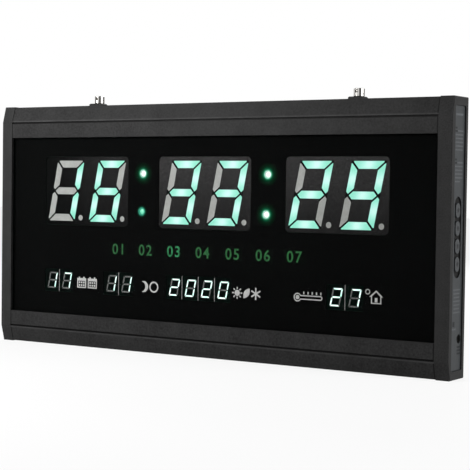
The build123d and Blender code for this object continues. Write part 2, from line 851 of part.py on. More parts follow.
# Hanging posts: a nickel barrel on a dark pad, held by a screw from inside the top rail
pad_y = hanger_y - pad_forward
post_top = pad_top + post_height
hanging_hole_z = post_top - hanging_hole_from_top
post_thread_top = pad_top + post_thread_depth
pads = []
posts = []
post_screws = []
for x in hanger_xs:
    pad = block(around(x, pad_width), around(pad_y, pad_depth), (rail_top, pad_top))
    pad = chamfer(pad.faces().sort_by(Axis.Z)[-1].edges(), pad_chamfer)
    pads.append(pad - rod_z(rail_core_radius, x, hanger_y, (rail_top, pad_top)))
    post = rod_z(post_radius, x, hanger_y, (pad_top, post_top))
    post = chamfer(post.edges().filter_by(GeomType.CIRCLE), post_chamfer)
    post -= rod_y(hanging_hole_radius, x, around(hanger_y, 2 * post_radius), hanging_hole_z)
    posts.append(post - rod_z(rail_core_radius, x, hanger_y, (pad_top, post_thread_top)))
    under_head_z = rail_top - outer_wall
    post_screws.append(pan_screw((x, hanger_y, under_head_z), (0, 0, 1), post_thread_top - under_head_z))
save("hanger_pads", *pads)
save("hanger_posts", *posts)
save("hanger_screws", *post_screws)

# Control board in the right end cap, with its switches and the power inlet
control_board_rear_y = -control_board_from_back
control_board = block(
    (control_board_inner_x, control_board_outer_x),
    (control_board_rear_y - control_board_width, control_board_rear_y),
    (jack_z - control_board_below_jack, button_row_z + control_board_above_row))
control_board_run = (control_board_inner_x, control_board_outer_x)
for z in control_screw_zs:
    control_board -= rod_x(screw_radius + board_hole_clearance, control_board_run, control_screw_y, z)
save("control_board", control_board)
save("control_board_screws", *[
    pan_screw((control_board_inner_x, control_screw_y, z), (1, 0, 0), control_screw_length)
    for z in control_screw_zs])

switch_top_x = control_board_outer_x + switch_height
plunger_top_x = switch_top_x + plunger_rise
plunger_foot_x = switch_top_x - plunger_seat
switch_well_x = plunger_foot_x - button_travel - plunger_bottom_gap
flange_outer_x = pocket_x - button_flange_gap
flange_inner_x = flange_outer_x - button_flange_thickness
button_top_x = floor_x + plate_thickness + button_proud
switches = []
for z in button_zs:
    body = block((control_board_outer_x, switch_top_x), around(button_y, switch_size), around(z, switch_size))
    switches.append(body - rod_x(plunger_radius + plunger_gap, (switch_well_x, switch_top_x), button_y, z))
save("switch_bodies", *switches)


def push_button(z):
    """An oval dished button with a flange that keeps it in the end cap and a stem to its switch."""
    head = facing_side(button_face(0), button_y, z, flange_outer_x, button_top_x)
    head = fillet(head.faces().sort_by(Axis.X)[-1].edges(), button_edge_round)
    dish_radius = (dimple_radius ** 2 + dimple_depth ** 2) / (2 * dimple_depth)
    head -= Pos(button_top_x + dish_radius - dimple_depth, button_y, z) * Sphere(dish_radius)
    head += facing_side(button_face(button_flange_lip), button_y, z, flange_inner_x, flange_outer_x)
    return head + rod_x(button_stem_radius, (plunger_top_x, flange_inner_x), button_y, z)


for name, z in zip(("set", "up", "down", "alarm"), button_zs):
    save(f"{name}_button", push_button(z))
    save(f"{name}_plunger", rod_x(plunger_radius, (plunger_foot_x, plunger_top_x), button_y, z))

jack_front_x = pocket_x - jack_wall_gap
jack_floor_x = control_board_outer_x + jack_floor
jack = block((control_board_outer_x, jack_front_x), around(jack_y, jack_size), around(jack_z, jack_size))
jack -= rod_x(jack_bore_radius, (jack_floor_x, jack_front_x), jack_y, jack_z)
save("dc_jack", jack)
save("dc_jack_pin", rod_x(jack_pin_radius, (jack_floor_x, jack_front_x - jack_pin_recess), jack_y, jack_z))

# Ribbon: it leaves the control board along X and bends once to the back of the main board
ribbon_y = board_rear_y + ribbon_room + ribbon_bend
ribbon_z = board_middle_z + ribbon_row_share * board_half_height
ribbon_end_x = display_shift + board_half_run - ribbon_board_inset
bend_start = (ribbon_end_x + ribbon_bend, ribbon_y, ribbon_z)
bend_end = (ribbon_end_x, ribbon_y - ribbon_bend, ribbon_z)
ribbon_path = Line((control_board_inner_x, ribbon_y, ribbon_z), bend_start)
ribbon_path += TangentArc(bend_start, bend_end, tangent=(-1, 0, 0))
ribbon_path += Line(bend_end, (ribbon_end_x, board_rear_y, ribbon_z))
ribbon_start = Plane(origin=(control_board_inner_x, ribbon_y, ribbon_z), x_dir=(0, 1, 0), z_dir=(-1, 0, 0))
save("ribbon_cable", sweep(ribbon_start * Rectangle(ribbon_thickness, ribbon_width), path=ribbon_path))
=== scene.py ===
import math

import bmesh
import bpy
from mathutils import Matrix, Vector


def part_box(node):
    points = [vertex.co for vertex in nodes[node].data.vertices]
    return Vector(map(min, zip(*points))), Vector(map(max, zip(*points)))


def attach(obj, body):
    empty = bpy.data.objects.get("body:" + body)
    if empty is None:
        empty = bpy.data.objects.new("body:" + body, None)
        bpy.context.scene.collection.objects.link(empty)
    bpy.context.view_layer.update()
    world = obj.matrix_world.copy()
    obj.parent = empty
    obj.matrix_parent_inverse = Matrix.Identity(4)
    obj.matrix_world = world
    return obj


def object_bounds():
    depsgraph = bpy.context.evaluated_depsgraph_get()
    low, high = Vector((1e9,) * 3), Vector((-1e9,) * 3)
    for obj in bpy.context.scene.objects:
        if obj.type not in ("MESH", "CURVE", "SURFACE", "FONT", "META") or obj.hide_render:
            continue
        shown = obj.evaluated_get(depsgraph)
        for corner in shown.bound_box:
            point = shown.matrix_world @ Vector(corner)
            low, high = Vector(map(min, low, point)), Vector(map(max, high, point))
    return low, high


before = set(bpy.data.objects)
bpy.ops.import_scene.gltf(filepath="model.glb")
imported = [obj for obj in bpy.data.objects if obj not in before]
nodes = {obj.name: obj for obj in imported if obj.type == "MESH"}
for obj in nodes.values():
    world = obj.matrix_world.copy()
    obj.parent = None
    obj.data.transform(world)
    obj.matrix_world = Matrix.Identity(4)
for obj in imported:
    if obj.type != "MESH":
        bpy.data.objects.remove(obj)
cad_low, cad_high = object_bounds()

# The looks of a digital calendar wall clock, in the frame of its solids. Metres, and millimetres by MM.
MM = 0.001
BODY = "clock_body"

# Places repeated from the part's source, in metres
MODULE_MIDDLE_X = -2.2 * MM
MODULE_PITCH = 129.36 * MM
MODULE_Z = 32.2 * MM
MODULE_HALF_HEIGHT = 31.2 * MM
DIGIT_HALF_PITCH = 23.9 * MM
DIGIT_HALF_WIDTH = 15.5 * MM
DIGIT_HALF_HEIGHT = 27.6 * MM
DIGIT_STROKE = 6.3 * MM
DIGIT_SLANT = math.tan(math.radians(11.5))
POST_MIDDLE = 12.35 * MM
BAR_STEP = 12.225 * MM
FRONT_Y = -30.0 * MM
RAIL_END = 218.0 * MM
GROOVE_Z = 94.7 * MM
HANGER_XS = (-131.72 * MM, 136.92 * MM)
HANGER_Y = -7.0 * MM
COLON_LAMPS = tuple((x * MM, z * MM) for x, z in ((-67.2, 48.5), (-68.4, 15.0), (62.2, 48.5), (61.0, 15.0)))
LAMP_RADIUS = 3.0 * MM
SMALL_DIGIT_XS = tuple(x * MM for x in (
    -170.69, -153.69, -101.67, -84.67, -32.17, -15.17, 1.83, 18.83, 128.62, 145.62))
SMALL_POINT_SHIFT = 6.1 * MM
SMALL_POINT_TOP = -55.9 * MM
WELL_X = 227.5 * MM
WELL_Z = 0.8 * MM
WELL_HALF_WIDTH = 6.3 * MM
WELL_HALF_HEIGHT = 31.8 * MM
BUTTON_Y = -14.4 * MM
BUTTON_ZS = tuple(z * MM for z in (21.725, 7.775, -6.175, -20.125))

# Places of the prints, in millimetres as they are drawn
WEEKDAY_FIRST_X = -94.6
WEEKDAY_PITCH = 30.6
WEEKDAY_Z = -19.2
PANEL_REAR_Y = -25.5
PLATE_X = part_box("control_plate")[1][0] / MM
PLATE_Y = -14.5
PRINT_THICKNESS = 0.04
PRINT_Y = PANEL_REAR_Y - PRINT_THICKNESS / 2

# Sizes that only the looks have, in metres
# Reach of the painted shade in the rail joints and down in the grooves
JOINT_PAINTED_SHADE = (1.3 * MM, 0.7 * MM)
GROOVE_PAINTED_SHADE = (0.2 * MM, 0.9 * MM)
GROOVE_HALF_WIDTH = 0.9 * MM
# Place of the painted highlight along the edge above each groove
PAINTED_HIGHLIGHT_RISE = 1.5 * MM
PAINTED_HIGHLIGHT_HALF_WIDTH = 0.6 * MM
HALO_RADIUS = 12.0 * MM
# Where the painted shade on the digits' shells runs out, on the hours and on the minutes
HOUR_PAINTED_SHADE_XS = (-178.0 * MM, -90.0 * MM)
MINUTE_PAINTED_SHADE_XS = (-80.0 * MM, -55.0 * MM)
GAP_MARGIN = 0.2 * MM
POINT_HALF_WIDTH = 1.0 * MM
DISH_RADII = (1.4 * MM, 2.6 * MM)
TRACK_STEP = 1.6 * MM
TRACK_EDGE = 0.9 * MM
FINE_RELIEF = 0.1 * MM
GRAIN_RELIEF = 0.2 * MM

# Where nearly all of a noise lies, between 0 and 1
NOISE_LOW = 0.3
NOISE_HIGH = 0.7


# Shaders
class Finish:
    """A material's node tree, with short calls for the nodes that the finishes share."""

    def __init__(self, name, **constants):
        self.name = name
        self.material = bpy.data.materials.new("look_" + name)
        self.material.use_nodes = True
        self.tree = self.material.node_tree
        self.surface = self.tree.nodes["Principled BSDF"]
        self.place = self.add("ShaderNodeTexCoord").outputs["Object"]
        for socket, value in constants.items():
            self.surface.inputs[socket.replace("_", " ")].default_value = value

    def add(self, kind, **settings):
        node = self.tree.nodes.new(kind)
        for name, value in settings.items():
            setattr(node, name, value)
        return node

    def feed(self, socket, value):
        """Links a socket, or sets it where the value is a plain number or colour."""
        if isinstance(value, bpy.types.NodeSocket):
            self.tree.links.new(value, socket)
        else:
            socket.default_value = value

    def drive(self, name, value):
        self.feed(self.surface.inputs[name], value)

    def base(self):
        """What drives the base colour so far."""
        return self.surface.inputs["Base Color"].links[0].from_socket

    def math(self, operation, *values):
        node = self.add("ShaderNodeMath", operation=operation)
        for socket, value in zip(node.inputs, values):
            self.feed(socket, value)
        return node.outputs[0]

    def axes(self):
        node = self.add("ShaderNodeSeparateXYZ")
        self.feed(node.inputs[0], self.place)
        return node.outputs

    def span(self, across, up):
        """How far away a point is that lies this far across and up."""
        squares = self.math("ADD", self.math("POWER", across, 2.0), self.math("POWER", up, 2.0))
        return self.math("SQRT", squares)

    def nearest(self, distances):
        least = None
        for distance in distances:
            least = distance if least is None else self.math("MINIMUM", least, distance)
        return least

    def away(self, value, place):
        """How far a value is from a place, on either side of it."""
        return self.math("ABSOLUTE", self.math("SUBTRACT", value, place))

    def stretched(self, scale):
        node = self.add("ShaderNodeMapping")
        self.feed(node.inputs["Vector"], self.place)
        node.inputs["Scale"].default_value = scale
        return node.outputs[0]

    def noise(self, scale, detail=3.0, roughness=0.6, stretch=None):
        node = self.add("ShaderNodeTexNoise")
        self.feed(node.inputs["Vector"], self.stretched(stretch) if stretch else self.place)
        node.inputs["Scale"].default_value = scale
        node.inputs["Detail"].default_value = detail
        node.inputs["Roughness"].default_value = roughness
        return node.outputs["Fac"]

    def ramp(self, factor, *stops):
        node = self.add("ShaderNodeValToRGB")
        self.feed(node.inputs[0], factor)
        elements = node.color_ramp.elements
        while len(elements) < len(stops):
            elements.new(0.5)
        for element, (position, colour) in zip(elements, stops):
            element.position = position
            element.color = (*colour, 1.0)
        return node.outputs[0]

    def tones(self, noise, dark, light):
        """A colour that runs from dark to light over the range of a noise."""
        return self.ramp(noise, (NOISE_LOW, dark), (NOISE_HIGH, light))

    def spread(self, noise, low, high):
        """A number that runs from low to high over the range of a noise."""
        node = self.add("ShaderNodeMapRange")
        self.feed(node.inputs["Value"], noise)
        for socket, value in zip(node.inputs[1:5], (NOISE_LOW, NOISE_HIGH, low, high)):
            socket.default_value = value
        return node.outputs[0]

    def between(self, value, start, end, low=0.0, high=1.0):
        """A number that runs smoothly from low to high as the value runs from start to end."""
        node = self.add("ShaderNodeMapRange", interpolation_type="SMOOTHSTEP")
        self.feed(node.inputs["Value"], value)
        for socket, limit in zip(node.inputs[1:5], (start, end, low, high)):
            socket.default_value = limit
        return node.outputs[0]

    def blend(self, factor, first, second, blend_type="MIX"):
        node = self.add("ShaderNodeMix", data_type="RGBA", blend_type=blend_type)
        self.feed(node.inputs[0], factor)
        self.feed(node.inputs[6], first)
        self.feed(node.inputs[7], second)
        return node.outputs[2]

    def bump(self, height, strength, depth):
        node = self.add("ShaderNodeBump")
        node.inputs["Strength"].default_value = strength
        node.inputs["Distance"].default_value = depth
        self.feed(node.inputs["Height"], height)
        self.drive("Normal", node.outputs[0])


def grey(value):
    return (value, value, value)


def opaque(red, green, blue):
    """A colour for a socket, which also holds an alpha."""
    return (red, green, blue, 1.0)


def grained(name, dark, light, grain, rough, bump, depth=GRAIN_RELIEF, **constants):
    """A matt finish: two tones in fine grains, with roughness and relief from the same grain."""
    finish = Finish(name, **constants)
    fine = finish.noise(grain, 4.0, 0.7)
    cloud = finish.noise(grain / 12, 2.0)
    tone = finish.math("ADD", finish.math("MULTIPLY", fine, 0.75), finish.math("MULTIPLY", cloud, 0.25))
    finish.drive("Base Color", finish.ramp(tone, (0.32, dark), (0.68, light)))
    finish.drive("Roughness", finish.spread(fine, *rough))
    finish.bump(fine, bump, depth)
    return finish


def speckled(name, dark, light, grain, rough=(0.5, 0.65), **constants):
    """A plain finish in two near tones, for prints and for pieces inside the case."""
    finish = Finish(name, **constants)
    fine = finish.noise(grain, 3.0)
    finish.drive("Base Color", finish.tones(fine, dark, light))
    finish.drive("Roughness", finish.spread(fine, *rough))
    finish.bump(fine, 0.08, FINE_RELIEF)
    return finish


def plate_print(name, dark, light):
    return speckled(name, dark, light, 900.0, Specular_IOR_Level=0.15)


def glowing_print(name, low, high):
    finish = Finish(name, Roughness=0.6, Specular_IOR_Level=0.05, Emission_Strength=1.0)
    cloud = finish.noise(500.0, 2.0)
    finish.drive("Base Color", finish.tones(cloud, grey(0.01), grey(0.02)))
    finish.drive("Emission Color", finish.ramp(cloud, (0.32, low), (0.68, high)))
    return finish


def metal(name, dark, light, rough, stretch):
    """A metal with fine lines along the way that it was turned, drawn or rolled."""
    finish = Finish(name, Metallic=1.0)
    lines = finish.noise(40.0, 4.0, 0.6, stretch)
    finish.drive("Base Color", finish.tones(lines, dark, light))
    finish.drive("Roughness", finish.spread(lines, *rough))
    finish.bump(lines, 0.08, FINE_RELIEF)
    return finish


def frame_paint():
    """Textured paint, with painted shade in the grooves and the joints, and a painted highlight along the
    edge above each groove.
    """
    finish = grained(
        "frame_paint", grey(0.0065), grey(0.0275), grain=560.0, rough=(0.44, 0.6), bump=0.45,
        Specular_IOR_Level=0.07)
    x, y, z = finish.axes()
    along = finish.math("ABSOLUTE", x)
    up = finish.math("ABSOLUTE", z)
    # Painted shade: darker near the joints with the caps and down in the grooves
    joint = finish.between(along, *(RAIL_END - inset for inset in JOINT_PAINTED_SHADE))
    deep = finish.between(y, *(FRONT_Y + depth for depth in GROOVE_PAINTED_SHADE))
    band = finish.math("COMPARE", up, GROOVE_Z, GROOVE_HALF_WIDTH)
    painted_shade = finish.math("MAXIMUM", joint, finish.math("MULTIPLY", deep, band))
    # Painted highlight: paler along the edge above each groove
    edge = finish.math("COMPARE", up, GROOVE_Z + PAINTED_HIGHLIGHT_RISE, PAINTED_HIGHLIGHT_HALF_WIDTH)
    painted_highlight = finish.math("MULTIPLY", edge, finish.spread(finish.noise(90.0), 0.25, 0.7))
    shaded = finish.blend(finish.math("MULTIPLY", painted_shade, 0.95), finish.base(), opaque(0.002, 0.002, 0.002))
    finish.drive("Base Color", finish.blend(painted_highlight, shaded, opaque(0.05, 0.05, 0.05)))
    return finish


def cap_plastic():
    """Moulded end caps, with painted shade in the well round the buttons."""
    finish = grained(
        "cap_plastic", grey(0.010), grey(0.029), grain=800.0, rough=(0.46, 0.62), bump=0.4, depth=0.15 * MM,
        Specular_IOR_Level=0.07)
    x, y, z = finish.axes()
    outer = finish.math("GREATER_THAN", x, WELL_X)
    across = finish.math("COMPARE", y, BUTTON_Y, WELL_HALF_WIDTH)
    along = finish.math("COMPARE", z, WELL_Z, WELL_HALF_HEIGHT)
    well = finish.math("MULTIPLY", outer, finish.math("MULTIPLY", across, along))
    # Painted shade: the well round the buttons is made darker
    painted_shade = finish.math("MULTIPLY", well, 0.75)
    finish.drive("Base Color", finish.blend(painted_shade, finish.base(), opaque(0.003, 0.003, 0.003)))
    return finish


def panel_tint():
    """The tinted window, without a mirror reflection, which the thin sheet showed as white specks."""
    finish = Finish("panel_tint", Alpha=0.1, IOR=1.49, Specular_IOR_Level=0.0)
    smear = finish.noise(14.0, 3.0, 0.55)
    tint = finish.ramp(smear, (0.35, (0.002, 0.003, 0.003)), (0.7, (0.005, 0.008, 0.007)))
    finish.drive("Base Color", tint)
    finish.drive("Roughness", finish.spread(smear, 0.05, 0.12))
    return finish


def lamp_distance(finish):
    """How far a point is from the nearest colon lamp's axis."""
    x, _, z = finish.axes()
    return finish.nearest(
        finish.span(finish.math("SUBTRACT", x, lamp_x), finish.math("SUBTRACT", z, lamp_z))
        for lamp_x, lamp_z in COLON_LAMPS)


def dim_lamp(finish):
    """1 near the one colon lamp that glows less than the others, low on the left."""
    x, _, z = finish.axes()
    left = finish.math("LESS_THAN", x, 0.0)
    low = finish.math("LESS_THAN", z, MODULE_Z)
    return finish.math("MULTIPLY", left, low)


def card_black():
    """The black ground behind the window, with the green glow of the colon lamps painted on it as emission.
    """
    finish = Finish("card_black", Roughness=0.8, Specular_IOR_Level=0.02)
    fine = finish.noise(1500.0)
    finish.drive("Base Color", finish.ramp(fine, (0.35, grey(0.0011)), (0.65, grey(0.0027))))
    finish.bump(fine, 0.1, FINE_RELIEF)
    # Painted glow round each colon lamp, fading with distance from it
    away = finish.math("DIVIDE", lamp_distance(finish), HALO_RADIUS)
    halo = finish.ramp(
        away, (0.22, (0.80, 1.0, 0.92)), (0.27, (0.30, 0.72, 0.52)), (0.32, (0.04, 0.29, 0.16)),
        (0.38, (0.002, 0.11, 0.045)), (0.45, (0.0, 0.045, 0.016)), (0.56, (0.0, 0.014, 0.0045)),
        (0.85, grey(0.0)))
    faint = finish.ramp(
        away, (0.25, (0.05, 0.40, 0.26)), (0.31, (0.012, 0.13, 0.075)), (0.38, (0.0, 0.015, 0.007)),
        (0.5, grey(0.0)))
    finish.drive("Emission Color", finish.blend(dim_lamp(finish), halo, faint))
    finish.drive("Emission Strength", finish.spread(finish.noise(500.0), 0.75, 1.35))
    return finish


def colon_lamp():
    finish = Finish("colon_lamp", Roughness=0.25, Emission_Strength=1.3)
    rim = finish.math("DIVIDE", lamp_distance(finish), LAMP_RADIUS)
    glow = finish.ramp(rim, (0.7, (0.98, 1.0, 0.99)), (0.84, (0.62, 0.96, 0.82)))
    faint = finish.ramp(
        finish.math("ADD", rim, finish.spread(finish.noise(420.0), -0.2, 0.2)),
        (0.3, (0.085, 0.52, 0.35)), (0.7, (0.065, 0.45, 0.29)), (0.98, (0.04, 0.33, 0.20)))
    finish.drive("Emission Color", finish.blend(dim_lamp(finish), glow, faint))
    finish.drive("Base Color", finish.tones(finish.noise(300.0), (0.1, 0.3, 0.18), (0.16, 0.4, 0.25)))
    return finish


def digit_place(finish):
    """How far across and up a point is from its large digit's middle, with all digits folded into one."""
    x, _, z = finish.axes()
    up = finish.math("SUBTRACT", z, MODULE_Z)
    leaned = finish.math("SUBTRACT", x, finish.math("MULTIPLY", up, DIGIT_SLANT))
    half = MODULE_PITCH / 2
    across = finish.math("WRAP", finish.math("SUBTRACT", leaned, MODULE_MIDDLE_X), half, -half)
    return finish.math("SUBTRACT", finish.math("ABSOLUTE", across), DIGIT_HALF_PITCH), up


def segment_gap(finish):
    """1 along the strokes of a large digit, so on a shell only in the dark gaps between its segments."""
    across, up = digit_place(finish)
    side = finish.math("ABSOLUTE", across)
    rise = finish.math("ABSOLUTE", up)
    wide = finish.math("LESS_THAN", side, DIGIT_HALF_WIDTH + GAP_MARGIN)
    tall = finish.math("LESS_THAN", rise, DIGIT_HALF_HEIGHT + GAP_MARGIN)
    post = finish.math("GREATER_THAN", side, DIGIT_HALF_WIDTH - DIGIT_STROKE - GAP_MARGIN)
    end_bar = finish.math("GREATER_THAN", rise, DIGIT_HALF_HEIGHT - DIGIT_STROKE - GAP_MARGIN)
    middle_bar = finish.math("LESS_THAN", rise, DIGIT_STROKE / 2 + GAP_MARGIN)
    stroke = finish.math("MAXIMUM", post, finish.math("MAXIMUM", end_bar, middle_bar))
    return finish.math("MULTIPLY", finish.math("MULTIPLY", wide, tall), stroke)


def hot_middle(finish):
    """1 at the middle of every segment of a large digit and 0 at the segments' ends."""
    across, up = digit_place(finish)
    wave = finish.math("COSINE", finish.math("MULTIPLY", across, math.pi / POST_MIDDLE))
    rise = finish.math("COSINE", finish.math("MULTIPLY", up, math.pi / BAR_STEP))
    both = finish.math("MULTIPLY", wave, rise)
    return finish.math("MULTIPLY_ADD", both, 0.5, 0.5)


def module_face():
    """The digits' shells, with painted shade and light: dark on the hours, paler on the minutes and seconds,
    palest along the top.
    """
    finish = Finish("module_face", Roughness=0.55, Specular_IOR_Level=0.03)
    x, _, z = finish.axes()
    fine = finish.noise(700.0, 4.0, 0.75)
    tone = finish.tones(fine, (0.015, 0.0147, 0.0147), (0.046, 0.044, 0.0445))
    # Painted shade darkens the hours and the left ends of the hours and minutes; painted light pales the top
    # and painted shade darkens the bottom
    left = finish.between(x, *HOUR_PAINTED_SHADE_XS, 0.02, 0.45)
    right = finish.between(x, *MINUTE_PAINTED_SHADE_XS, 0.0, 0.55)
    top = finish.between(z, MODULE_Z - MODULE_HALF_HEIGHT, MODULE_Z + MODULE_HALF_HEIGHT, 0.5, 1.25)
    shade = finish.math("MULTIPLY", finish.math("ADD", left, right), top)
    face = finish.blend(1.0, tone, shade, "MULTIPLY")
    finish.drive("Base Color", finish.blend(segment_gap(finish), face, opaque(0.0015, 0.0025, 0.002)))
    finish.bump(fine, 0.2, GRAIN_RELIEF)
    return finish


def segment_lit():
    finish = Finish("segment_lit", Roughness=0.35, Emission_Strength=1.0)
    cloud = finish.math("MULTIPLY", finish.math("SUBTRACT", finish.noise(160.0), 0.5), 0.35)
    mottle = finish.math("ADD", hot_middle(finish), cloud)
    glow = finish.ramp(
        mottle, (0.0, (0.20, 0.80, 0.58)), (0.4, (0.28, 0.86, 0.67)), (0.75, (0.40, 0.93, 0.78)),
        (1.0, (0.60, 1.0, 0.90)))
    finish.drive("Base Color", finish.ramp(mottle, (0.2, (0.10, 0.15, 0.13)), (0.9, (0.16, 0.2, 0.19))))
    finish.drive("Emission Color", glow)
    return finish


def segment_dark():
    finish = Finish("segment_dark", Roughness=0.4)
    cloud = finish.noise(220.0, 3.0)
    finish.drive("Base Color", finish.tones(cloud, (0.325, 0.335, 0.315), (0.405, 0.415, 0.395)))
    finish.bump(finish.noise(900.0), 0.1, FINE_RELIEF)
    return finish


def small_lit():
    finish = Finish("small_lit", Roughness=0.35, Emission_Strength=1.7)
    cloud = finish.noise(420.0, 2.0)
    finish.drive("Base Color", finish.tones(cloud, (0.10, 0.14, 0.13), (0.15, 0.18, 0.17)))
    finish.drive("Emission Color", finish.ramp(cloud, (0.3, (0.5, 0.95, 0.8)), (0.62, (0.85, 1.0, 0.96))))
    return finish


def small_dark():
    """The small digits' unlit lenses, with their decimal points darker than the strokes."""
    finish = Finish("small_dark", Roughness=0.45, Specular_IOR_Level=0.1)
    x, _, z = finish.axes()
    tone = finish.tones(finish.noise(400.0, 3.0), (0.13, 0.133, 0.131), (0.20, 0.204, 0.20))
    aside = finish.nearest(finish.away(x, digit_x + SMALL_POINT_SHIFT) for digit_x in SMALL_DIGIT_XS)
    narrow = finish.math("LESS_THAN", aside, POINT_HALF_WIDTH)
    point = finish.math("MULTIPLY", narrow, finish.math("LESS_THAN", z, SMALL_POINT_TOP))
    finish.drive("Base Color", finish.blend(point, tone, opaque(0.006, 0.007, 0.007)))
    return finish


def small_shell():
    """The small digits' shells: black, with a painted green glow for the light that leaks from the lit
    lenses.
    """
    finish = Finish(
        "small_shell", Roughness=0.6, Specular_IOR_Level=0.01, Emission_Color=opaque(0.02, 0.30, 0.18))
    finish.drive("Base Color", finish.tones(finish.noise(1300.0, 3.0), grey(0.0007), grey(0.002)))
    # Painted glow: the shells emit a faint green
    finish.drive("Emission Strength", finish.spread(finish.noise(150.0, 2.0), 0.0, 0.016))
    return finish


def board_green():
    """A solder-masked board: darker runs between paler ones, as copper shows through the mask."""
    finish = Finish("board_green", Roughness=0.35)
    runs = finish.math("PINGPONG", finish.axes()[2], TRACK_STEP)
    tracks = finish.math("GREATER_THAN", runs, TRACK_EDGE)
    broken = finish.math("MULTIPLY", tracks, finish.math("GREATER_THAN", finish.noise(60.0), 0.5))
    finish.drive("Base Color", finish.blend(broken, opaque(0.012, 0.085, 0.03), opaque(0.03, 0.15, 0.06)))
    finish.bump(broken, 0.2, 0.05 * MM)
    return finish


def nickel():
    """Bright plated posts, with dull and bright stripes painted round them as reflections."""
    finish = metal("nickel", (0.42, 0.41, 0.39), (0.78, 0.76, 0.73), (0.14, 0.30), (40.0, 40.0, 2.0))
    x, y, _ = finish.axes()
    left_x, right_x = HANGER_XS
    left = finish.math("LESS_THAN", x, 0.0)
    axis_x = finish.math("MULTIPLY_ADD", left, left_x - right_x, right_x)
    # Painted reflection: dull and bright stripes by angle round each post's axis
    angle = finish.math("ARCTAN2", finish.math("SUBTRACT", x, axis_x), finish.math("SUBTRACT", y, HANGER_Y))
    wave = finish.math("MULTIPLY_ADD", finish.math("SINE", finish.math("MULTIPLY", angle, 7.0)), 0.5, 0.5)
    painted_reflection_bands = finish.ramp(wave, (0.15, grey(0.16)), (0.5, grey(0.55)), (0.8, grey(1.0)))
    finish.drive("Base Color", finish.blend(1.0, finish.base(), painted_reflection_bands, "MULTIPLY"))
    return finish


def plate_grey():
    """The control plate, brushed along its length."""
    finish = Finish("plate_grey", Specular_IOR_Level=0.15)
    lines = finish.noise(60.0, 4.0, 0.6, (20.0, 20.0, 0.6))
    finish.drive("Base Color", finish.tones(lines, (0.024, 0.027, 0.029), (0.033, 0.036, 0.038)))
    finish.drive("Roughness", finish.spread(lines, 0.4, 0.55))
    finish.bump(lines, 0.1, FINE_RELIEF)
    return finish


def button_grey():
    """Moulded buttons, with painted shade in their dished middles."""
    finish = grained(
        "button_grey", (0.027, 0.030, 0.032), (0.038, 0.041, 0.044), grain=1500.0, rough=(0.42, 0.55),
        bump=0.15, depth=FINE_RELIEF, Specular_IOR_Level=0.2)
    _, y, z = finish.axes()
    across = finish.math("SUBTRACT", y, BUTTON_Y)
    up = finish.nearest(finish.away(z, button_z) for button_z in BUTTON_ZS)
    # Painted shade: dark in the dish of each button
    middle = finish.between(finish.span(across, up), *DISH_RADII, 0.9, 0.0)
    finish.drive("Base Color", finish.blend(middle, finish.base(), opaque(0.008, 0.009, 0.010)))
    return finish


finishes = {finish.name: finish.material for finish in (
    frame_paint(), cap_plastic(), panel_tint(), card_black(), module_face(), segment_lit(), segment_dark(),
    small_lit(), small_dark(), small_shell(), colon_lamp(), board_green(), plate_grey(), button_grey(),
    nickel(),
    grained(
        "cover_black", grey(0.022), grey(0.036), grain=800.0, rough=(0.5, 0.65), bump=0.25,
        Specular_IOR_Level=0.15),
    speckled(
        "film_green", (0.0008, 0.0016, 0.001), (0.002, 0.0036, 0.0024), 900.0, (0.5, 0.7),
        Specular_IOR_Level=0.02),
    speckled("divider_grey", (0.23, 0.22, 0.22), (0.33, 0.32, 0.32), 700.0),
    speckled("light_box_white", grey(0.70), grey(0.82), 300.0),
    speckled("package_black", grey(0.018), grey(0.034), 1100.0, (0.45, 0.6)),
    speckled("ribbon_grey", grey(0.32), grey(0.42), 400.0, (0.5, 0.6)),
    speckled("label_white", (0.40, 0.40, 0.395), (0.50, 0.50, 0.49), 600.0, Specular_IOR_Level=0.2),
    plate_print("plate_print_dark", (0.006, 0.007, 0.008), (0.012, 0.013, 0.014)),
    plate_print("plate_print_grey", (0.058, 0.062, 0.066), (0.080, 0.085, 0.090)),
    plate_print("plate_print_pale", (0.060, 0.065, 0.070), (0.09, 0.096, 0.102)),
    metal("steel", grey(0.42), grey(0.60), (0.25, 0.4), (20.0, 20.0, 20.0)),
    metal("brass", (0.55, 0.40, 0.16), (0.70, 0.54, 0.24), (0.2, 0.35), (30.0, 4.0, 30.0)),
    metal("can_aluminium", grey(0.55), grey(0.68), (0.3, 0.45), (30.0, 3.0, 30.0)),
    glowing_print("weekday_dim", (0.005, 0.075, 0.017), (0.015, 0.14, 0.034)),
    glowing_print("weekday_bright", (0.003, 0.10, 0.026), (0.022, 0.29, 0.105)),
)}

